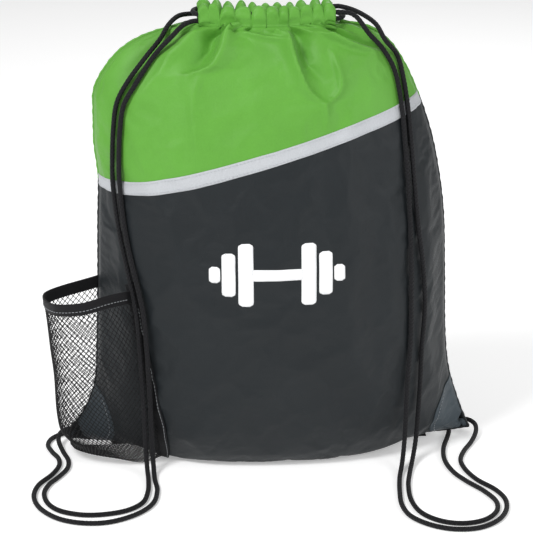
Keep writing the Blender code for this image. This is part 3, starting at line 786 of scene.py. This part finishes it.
def make_way(points, normals, tree, path):
    """Press the cloth in under the cords, so that it touches them and doesn't cross them."""
    clear, reach, rise = CORD / 2 + 0.45 * MM, 13 * MM, 5.0 * MM
    layer = 12 * MM               # cloth further than this below or above a cord is left alone
    for index in np.ndindex(points.shape[:2]):
        _, nearest, distance = tree.find(points[index])
        if distance > reach + clear:
            continue
        away = points[index] - path[nearest]
        height = away.dot(normals[index])
        aside = math.sqrt(max(distance ** 2 - height ** 2, 0))
        limit = -clear + rise * (aside / reach) ** 2
        if abs(height) < layer and height > limit:
            points[index] -= normals[index] * (height - limit)


def grid_normals(points, side):
    across, up = np.gradient(points, axis=1), np.gradient(points, axis=0)
    return unit(np.cross(across, up)) * -side


class Cloth:
    """One side of the bag after it has settled, read at any share across and t."""

    def __init__(self, side, cords):
        self.side = side
        share, t, s, points, self.flat = cloth_grid(side)
        points = relax(s, np.broadcast_to(t[:, None], s.shape), points)
        if side == FRONT:
            path = np.vstack(cords)
            tree = kdtree.KDTree(len(path))
            for i, point in enumerate(path):
                tree.insert(point, i)
            tree.balance()
            make_way(points, outward(s, np.broadcast_to(t[:, None], s.shape), side), tree, path)
        mouth = MOUTH_LEAST * smoothstep(0.96, 0.985, t)[:, None] * (1 - abs(s) ** 12)
        points[..., 1] = side * np.maximum(points[..., 1] * side, np.maximum(mouth, GAP / 2))
        points[..., 2] = np.maximum(points[..., 2], 0.5 * MM)
        self.points = points
        self.normals = grid_normals(points, side)
        self.s_line, self.share_line = s[0], share

    def at(self, s, t, lift=0.0):
        """Points, lifted off the cloth, and flat coordinates, for arrays of s and t."""
        s, t = np.broadcast_arrays(np.asarray(s, float), np.asarray(t, float))
        share = np.interp(s, self.s_line, self.share_line)
        column = (share + 1) / 2 * PANEL_ACROSS
        row = np.clip(t, 0, 1) * PANEL_ROWS
        i = np.clip(row.astype(int), 0, PANEL_ROWS - 1)
        j = np.clip(column.astype(int), 0, PANEL_ACROSS - 1)
        a, b = (row - i)[..., None], (column - j)[..., None]
        points, normals, flat = (blended(grid, i, j, a, b)
                                 for grid in (self.points, self.normals, self.flat))
        return points + unit(normals) * lift, flat

    def find(self, x, z):
        """The s and t of places on the cloth, given as arrays of x and z."""
        half_width, height = 140 * MM, 400 * MM   # roughly, to turn a miss into s and t
        t = np.full(np.shape(x), 0.5)
        s = x / half_width
        for _ in range(30):
            points = self.at(s, t)[0]
            s = np.clip(s + 0.7 * (x - points[..., 0]) / half_width, -1, 1)
            t = np.clip(t + 0.7 * (z - points[..., 2]) / height, 0, 1)
        return s, t


def add_sheet(name, points, flat, finish, side, thickness):
    """A sheet with its outer face on the points."""
    mesh = grid_mesh(name, points, flat)
    if side == BACK:
        mesh.flip_normals()
    return thicken(add_object(name, mesh, finish), thickness)


def casing_section(x, cloth, around, rise, inward=0.0):
    """The cloth round the cords at places x along the mouth.

    around goes from 1 (outer side) to -1 (inner side), rise from -1 (foot) to 1 (top).
    """
    side = cloth.side
    along, relief = gathered(x, side)
    edge = cloth.points[-1]
    lip = np.interp(x, mouth_x(cloth.s_line), abs(edge[:, 1])) - CASING_OFFSET
    foot = np.clip(np.interp(x, mouth_x(cloth.s_line), edge[:, 2]), *CASING_FOOT)
    outer = np.maximum(lip * (1 + 0.25 * relief * smoothstep(0.0, 0.8, rise)), LEAST_OUTER)
    inner = np.maximum(CASING_DEPTH + INNER_LOBE * relief, LEAST_INNER)
    height = CASING_RADIUS * np.where(rise > 0, 1 + 0.28 * relief, 1)
    sag = CASING_SAG[side] * (1 - (x / CASING_HALF_LENGTH) ** 2) * smoothstep(-1.0, 0.4, rise)
    crumple = np.vectorize(
        lambda p, a, r: noise.noise(Vector((110 * p, 1.3 * a, 1.3 * r + 5 * side))))
    lumps = crumple(*np.broadcast_arrays(x, around, rise)) * CASING_CRUMPLE
    lumps = lumps * smoothstep(-0.8, 0.0, rise) * smoothstep(-0.6, 0.4, relief) - inward
    y = side * (CASING_OFFSET + (np.where(around > 0, outer, inner) + lumps) * around)
    z = foot + CASING_RISE + (height + lumps) * rise - sag
    return joined(along, y, z)


def neck_rows(points, flat, cloth, s):
    """Rows that carry the gathered edge up over the outer side of the casing to its top."""
    x = mouth_x(s)[0][None]
    turn = np.radians((-32, -16, *range(0, 97, 12)))[:, None]
    around = np.where(turn < 0, 1.0, np.cos(turn))
    extra = casing_section(x, cloth, around, np.sin(turn))
    climb = np.linspace(0, 1, len(turn) + 1)[1:, None, None] * TURN_UP
    return (np.concatenate((points, extra)),
            np.concatenate((flat, flat[-1] + np.array((0, 1)) * climb)))


def add_panels(cloths, finishes):
    """Lower panel, contrast tape and upper panel, on each side."""
    share = np.linspace(-1, 1, 2 * PANEL_ACROSS + 1)
    s = flat_to_s(share)[None]
    lower_edge, upper_edge = tape_edge(s, TAPE_OVERLAP), tape_edge(s, 1 - TAPE_OVERLAP)
    # Node, lower and upper edge, rows of faces, slot, how it is held, lift and thickness.
    bands = (("lower_panel", 0 * s, lower_edge, 230, "charcoal_cloth", "stretched",
              0.0, CLOTH_THICKNESS),
             ("contrast_tape", tape_edge(s, 0), tape_edge(s, 1), 10, "white_tape", "stretched",
              TAPE_LIFT, TRIM_THICKNESS),
             ("upper_panel", upper_edge, 0 * s + 1, 110, "green_cloth", "gathered",
              0.0, CLOTH_THICKNESS))
    for side, word in SIDES:
        for node, low, high, rows, slot, held, lift, thickness in bands:
            w = np.linspace(0, 1, rows + 1)[:, None]
            points, flat = cloths[side].at(s, low + (high - low) * w, lift)
            if node == "upper_panel":
                points, flat = neck_rows(points, flat, cloths[side], s)
            obj = add_sheet(f"{word}_{node}_cloth", points, flat, finishes[slot], side, thickness)
            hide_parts(f"{word}_{node}")


def add_casings(cloths, finish):
    """The gathered tunnels at the mouth, inside the panels' turned edges, round the cords."""
    around = math.pi * (CASING_DEPTH + CASING_RADIUS)
    angle = circle(48)[None]
    sine, cosine = np.sin(angle), np.cos(angle)
    low = (sine < 0) & (cosine > 0)
    round_y = np.where(low, abs(cosine) ** 0.3, cosine)
    round_z = np.where(low, -abs(sine) ** 0.6, sine)
    for side, word in SIDES:
        places = np.array(VALLEYS[side])[:, 0] * MM
        x = np.interp(np.linspace(0, len(places) - 1, 30 * (len(places) - 1)),
                      np.arange(len(places)), places)[:, None]
        points = casing_section(x, cloths[side], round_y, round_z, inward=CASING_INSIDE)
        along = np.linspace(0, CASING_CUT, len(x))[:, None]
        uv = joined(angle / (2 * math.pi) * around, along)
        mesh = grid_mesh(f"{word}_casing_cloth", points, uv, closed=True)
        if side == BACK:
            mesh.flip_normals()
        obj = thicken(add_object(f"{word}_casing_cloth", mesh, finish), TRIM_THICKNESS)
        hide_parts(f"{word}_cord_casing")


# ---- bands, seams and stitches --------

def add_band(name, path, sideways, normals, width, thickness, finish):
    """A flat band with rounded edges, swept along a path."""
    angle = circle(20)
    across = width / 2 * np.sign(np.cos(angle)) * abs(np.cos(angle)) ** 0.4
    through_it = thickness / 2 * np.sign(np.sin(angle)) * abs(np.sin(angle)) ** 0.7
    points = (path[:, None] + sideways[:, None] * across[None, :, None]
              + normals[:, None] * through_it[None, :, None])
    uv = joined(distances(path)[:, None], (width / 2 * (angle / math.pi))[None])
    return add_tube(name, points, uv, finish)


def add_stitches(name, line, normals, finish, pitch=3.0 * MM, length=2.1 * MM, radius=0.26 * MM):
    """A row of lockstitches along a line on the cloth, each a short thread with sunk ends."""
    reach = distances(line)
    centres = np.arange(pitch / 2, reach[-1] - pitch / 2, pitch)
    places = centres[:, None] + np.linspace(-0.5, 0.5, 6)[None] * length
    lift = radius * 1.6 * (1 - np.linspace(-1, 1, 6) ** 4)[None] - 0.5 * radius
    rings, sides = places.shape[1], 7

    def read(values):
        return np.stack([np.interp(places, reach, values[:, axis]) for axis in range(3)], axis=-1)

    normal = unit(read(normals))
    middle = read(line) + normal * lift[..., None]
    along = unit(np.gradient(middle, axis=1))
    sideways = unit(np.cross(along, normal))
    angle = circle(sides)
    ring = (normal[:, :, None] * np.cos(angle)[None, None, :, None]
            + sideways[:, :, None] * np.sin(angle)[None, None, :, None])
    thin = radius * (1 - 0.45 * abs(np.linspace(-1, 1, rings)) ** 5)[None, :, None, None]
    points = middle[:, :, None] + ring * thin
    index = np.arange(points[..., 0].size).reshape(points.shape[:3])
    return add_tubes(name, points.reshape(-1, 3).tolist(), tube_faces(index), finish)


def seam_line(sign, t):
    """Points of a side seam and the outward directions in the seam's plane."""
    def at(value):
        left, right, seam_z = form(value)[:3]
        return np.stack(((right if sign > 0 else -left), 0 * seam_z, seam_z), axis=-1)

    along = at(np.clip(t + 0.01, 0, 1)) - at(np.clip(t - 0.01, 0, 1))
    out = np.stack((sign * abs(along[:, 2]), 0 * t, -along[:, 0] * sign), axis=-1)
    return at(t), unit(out)


def add_seams(finishes):
    """The side seams' rolled edges, puckered by their stitching: charcoal below, green above."""
    for sign, word in ENDS:
        meet = float(tape_edge(float(sign), 0.5))
        for part, low, high, slot in (("lower", 0.0, meet, "charcoal_cloth"),
                                      ("upper", meet, 1.0, "green_cloth")):
            t = np.linspace(low, high, 400)
            line = seam_line(sign, t)[0]
            if part == "lower":
                s = np.linspace(0.72, 0.995, 40) * sign
                foot = surface(s, 0 * s, FRONT) * (1, 0, 1)
                line = np.vstack((foot, line))
            line = resample(line, 1.0 * MM)
            along = np.arange(len(line)) * MM
            pucker = 1 + 0.22 * np.sin(along / (1.3 * MM)) * np.sin(along / (4.7 * MM) + sign)
            points = tube_grid(line, (1.15 * MM * pucker)[:, None], 12, start=(0, 1, 0))
            points[..., 1] *= 1.25
            points[..., 2] = np.maximum(points[..., 2], 0.05 * MM)
            angle = np.arange(12) / 12
            uv = joined(angle[None] * 8 * MM, along[:, None])
            obj = add_tube(f"{word}_{part}_seam", points, uv, finishes[slot])
            if part == "lower":
                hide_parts(f"{word}_side_seam_binding")


def patch_edge(t):
    """s where a corner patch's curved edge runs."""
    return 1 - 0.19 * np.sqrt(np.maximum(1 - (t / PATCH_TOP) ** 2, 0))


def add_corner_patches(cloths, finish, thread):
    """The reinforced corners, each with a curved row of topstitching. Their cloth is the charcoal
    painted about four times lighter, as painted light where the corners face the lamps.
    """
    for sign, word in ENDS:
        for side, face in SIDES:
            t = np.linspace(0.004, PATCH_TOP * 0.99, 60)[:, None]
            inner = patch_edge(t)
            s = sign * (inner + (1 - inner) * np.linspace(0, 1, 30)[None])
            points, flat = cloths[side].at(s, t, PATCH_LIFT)
            points[..., 2] = np.maximum(points[..., 2], 0.3 * MM)
            if sign < 0:
                points, flat = points[:, ::-1], flat[:, ::-1]
            name = f"{word}_{face}_patch"
            obj = add_sheet(name, points, flat, finish, side, TRIM_THICKNESS)
            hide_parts(f"{word}_{face}_corner_patch")
            t = np.linspace(0.012, PATCH_TOP * 0.95, 80)
            s = sign * (patch_edge(t) + 0.022)
            line = cloths[side].at(s, t, 0.6 * MM)[0]
            normals = outward(s, t, side)
            stitches = add_stitches(f"{name}_stitches", line, normals, thread)


def add_tape_stitches(cloths, thread):
    for side, word in SIDES:
        for share, edge in ((0.15, "lower"), (0.85, "upper")):
            s = flat_to_s(np.linspace(-0.99, 0.99, 300))
            t = tape_edge(s, share)
            line = cloths[side].at(s, t, TAPE_LIFT)[0]
            obj = add_stitches(f"{word}_tape_{edge}_stitches", line, outward(s, t, side), thread)


def add_print(cloth, finish):
    """A generic dumbbell in screen-printed ink on the middle of the front."""
    centre = np.array((1, 169)) * MM
    blocks = [(0, 20, 4.5, 1)] + [(sign * x, w, h, r) for sign in (-1, 1)
                                  for x, w, h, r in ((25, 6, 25, 3), (38.6, 5.4, 17.5, 3),
                                                     (49.6, 4.4, 6.5, 2.5))]
    for number, (middle, half_width, half_height, corner) in enumerate(blocks):
        v = np.linspace(-half_height, half_height, max(int(half_height * 1.4), 8))
        over = np.maximum(abs(v) - (half_height - corner), 0)
        half = half_width - corner + np.sqrt(np.maximum(corner ** 2 - over ** 2, 0.01))
        u = np.linspace(-1, 1, max(int(half_width * 1.4), 8))
        x = centre[0] + (middle + half[:, None] * u[None]) * MM
        z = centre[1] + np.broadcast_to(v[:, None], x.shape) * MM
        s, t = cloth.find(x, z)
        points, flat = cloth.at(s, t, PRINT_LIFT)
        name = f"front_print_{number + 1}"
        obj = add_sheet(name, points, flat, finish, FRONT, 0.14 * MM)


# ---- the mesh pocket --------

# The CAD's pocket: rows upwards, each with points of its section from the side seam forward.
POCKET_ROWS = np.array((
    ((-163, -14, 2.5), (-149, -27, 1.6), (-128, -38, 1.6), (-106, -48, 2)),
    ((-174, -16, 26), (-168, -42, 25), (-146, -57, 24), (-118, -60, 24)),
    ((-177, -17, 78), (-172, -47, 76), (-149, -65, 76), (-122, -67, 78)),
    ((-184, -24, 141), (-177, -56, 142), (-155, -67, 146), (-133, -60, 150)),
)) * MM
POCKET_HEIGHTS = np.array((0, 0.16, 0.52, 1))
POCKET_SEAM_S = ((0.10, -0.60), (0.44, -0.82))     # t and s at the foot and head of its seam
POCKET_FLAP_X = (-163 * MM, -95 * MM)
POCKET_RIM = 0.935                # share of the height where the rim binding starts
POCKET_CUT = (126 * MM, 196 * MM)         # the mesh's cut: across, and up with its bottom flap
YARN = 0.29 * MM                  # a mesh yarn's radius


def pocket_seam(height):
    (foot_t, foot_s), (head_t, head_s) = POCKET_SEAM_S
    return foot_s + (head_s - foot_s) * height, foot_t + (head_t - foot_t) * height


def pocket_row(height, across, cloth):
    """Points across the pocket at one height; below 0 they are the flap under the bag."""
    if height < 0:
        rim = pocket_row(0.0, across, cloth)
        seam_x = POCKET_FLAP_X[0] + (POCKET_FLAP_X[1] - POCKET_FLAP_X[0]) * across
        seam = np.stack((seam_x, 0 * across - 4 * MM, 0 * across + 0.6 * MM), axis=-1)
        flat = rim * (1, 1, 0) + (0, 0, 0.6 * MM)
        flat = flat + (seam - flat) * -height
        return rim + (flat - rim) * min(-8 * height, 1.0)
    seam, out = seam_line(-1, np.array([0.015 + 0.385 * height]))
    s, t = pocket_seam(height)
    start = seam + out * 0.8 * MM + np.array((0, -0.8 * MM, 0))
    end = cloth.at(np.array([s]), np.array([t]), 0.7 * MM)[0]
    rows = POCKET_ROWS.reshape(len(POCKET_ROWS), -1)
    middle = through(POCKET_HEIGHTS, rows, height).reshape(-1, 3)
    section = np.vstack((start, middle, end))
    knots = distances(section)
    return through(knots / knots[-1], section, across)


class Pocket:
    """The pocket's sheet as a fine grid that can be read anywhere."""

    def __init__(self, cloth, columns=100):
        self.across = np.linspace(0, 1, columns + 1)
        self.heights = np.concatenate((np.linspace(-1, 0, 31)[:-1], np.linspace(0, 1, 101)))
        self.grid = np.array([pocket_row(h, self.across, cloth) for h in self.heights])
        bulge = wobble(self.grid, 38 * MM, 1.6 * MM)
        fade = np.sin(self.across * math.pi)[None] * smoothstep(0, 0.2, self.heights)[:, None]
        self.normals = unit(np.cross(np.gradient(self.grid, axis=1),
                                     np.gradient(self.grid, axis=0)))
        self.grid += self.normals * (bulge * fade)[..., None]

    def at(self, across, height, lift=0.0):
        across, height = np.broadcast_arrays(across, height)
        row = np.interp(height, self.heights, np.arange(len(self.heights)))
        column = np.clip(across, 0, 1) * (len(self.across) - 1)
        i = np.clip(row.astype(int), 0, len(self.heights) - 2)
        j = np.clip(column.astype(int), 0, len(self.across) - 2)
        a, b = (row - i)[..., None], (column - j)[..., None]
        normals = unit(blended(self.normals, i, j, a, b))
        return blended(self.grid, i, j, a, b) + normals * lift, normals


def add_pocket_mesh(pocket, finish):
    """Yarns running up the pocket in waves, each touching its neighbours: an open diamond net."""
    yarns, sides = 70, 5
    low, high = -0.95, POCKET_RIM + 0.02
    cell = 4.8 * MM
    up = np.concatenate((np.linspace(low, 0, 56)[:-1], np.linspace(0, high, 190)))
    middle = pocket.at(0.5, up)[0]
    climb = distances(middle)
    wave = np.cos(2 * math.pi * climb / cell)
    wave = np.sign(wave) * abs(wave) ** 0.8
    pitch = 1 / yarns
    width = POCKET_CUT[0]
    swing = 0.5 * pitch - 0.8 * YARN / width
    vertices, faces = [], []
    for number in range(yarns):
        sign = 1 if number % 2 else -1
        across = (number + 0.5) * pitch + sign * swing * wave
        path = pocket.at(across, up)[0]
        path[:, 2] = np.maximum(path[:, 2], YARN * 1.05)
        rings = tube_grid(path, YARN * (1 + 0.3 * abs(wave) ** 3)[:, None], sides)
        index = np.arange(rings[..., 0].size).reshape(rings.shape[:2]) + len(vertices)
        vertices += rings.reshape(-1, 3).tolist()
        faces += tube_faces(index[None])
    obj = add_tubes("pocket_net", vertices, faces, finish)
    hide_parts("mesh_pocket")


def add_pocket_bindings(pocket, cloth, finish, thread):
    """The bound rim and the bound seam on the front panel, with their topstitching."""
    across = np.linspace(0, 1, 140)
    path, normals = pocket.at(across, 0.5 * (POCKET_RIM + 1.0))
    head, foot = pocket.at(across, 1.0)[0], pocket.at(across, POCKET_RIM)[0]
    rim = add_band("pocket_rim", path, unit(head - foot), normals, 10.5 * MM, 1.7 * MM, finish)
    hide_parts("pocket_rim_binding")
    line = path + unit(foot - head) * 1.6 * MM + normals * 0.85 * MM
    add_stitches("pocket_rim_stitches", line[2:-2], normals[2:-2], thread)
    s, t = pocket_seam(np.linspace(-0.10, 1.03, 120))
    path, _ = cloth.at(s, t, 1.2 * MM)
    path[:, 2] = np.maximum(path[:, 2], 1.0 * MM)
    normals = outward(s, t, FRONT)
    sideways = unit(np.cross(np.gradient(path, axis=0), normals))
    path = path + sideways * 1.4 * MM
    seam = add_band("pocket_front_seam", path, sideways, normals, 10.0 * MM, 1.5 * MM, finish)
    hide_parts("pocket_front_binding")
    line = path + sideways * 3.7 * MM + normals * 0.72 * MM
    add_stitches("pocket_seam_stitches", line, normals, thread)


# ---- main --------

add_camera()
add_studio()
BRAID = braid_material("black_braid", BLACK, 3.2 * MM, 4)
BINDING = rib_material("black_grosgrain", BLACK, 0.8 * MM)
GREY_THREAD = thread_material("grey_thread", THREAD)
FINISHES = {
    "charcoal_cloth": cloth_material("charcoal_cloth", CHARCOAL, 0.50, 0.06),
    "green_cloth": cloth_material("green_cloth", GREEN, 0.48, 0.10),
    "white_tape": rib_material("white_tape", WHITE, 0.9 * MM),
}
PATHS = []
for sign, word, route in ((-1, "left", LEFT_ROUTE), (1, "right", RIGHT_ROUTE)):
    PATHS.append(cord_path(route))
    add_cord(word, PATHS[-1], BRAID, add_knot(word, sign, BRAID))
    add_loop(word, sign, BINDING)
CLOTHS = {side: Cloth(side, PATHS) for side, _ in SIDES}
add_panels(CLOTHS, FINISHES)
add_casings(CLOTHS, FINISHES["green_cloth"])
add_seams(FINISHES)
add_corner_patches(CLOTHS, cloth_material("patch_painted_light_cloth", PATCH_PAINTED_LIGHT_GREY, 0.5, 0.12), GREY_THREAD)
add_tape_stitches(CLOTHS, thread_material("white_thread", WHITE))
add_print(CLOTHS[FRONT], print_material("white_ink", INK))
POCKET = Pocket(CLOTHS[FRONT])
add_pocket_mesh(POCKET, thread_material("black_yarn", BLACK))
add_pocket_bindings(POCKET, CLOTHS[FRONT], BINDING, GREY_THREAD)
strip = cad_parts["bottom_seam_binding"]
strip.data.materials.clear()
strip.data.materials.append(BINDING)
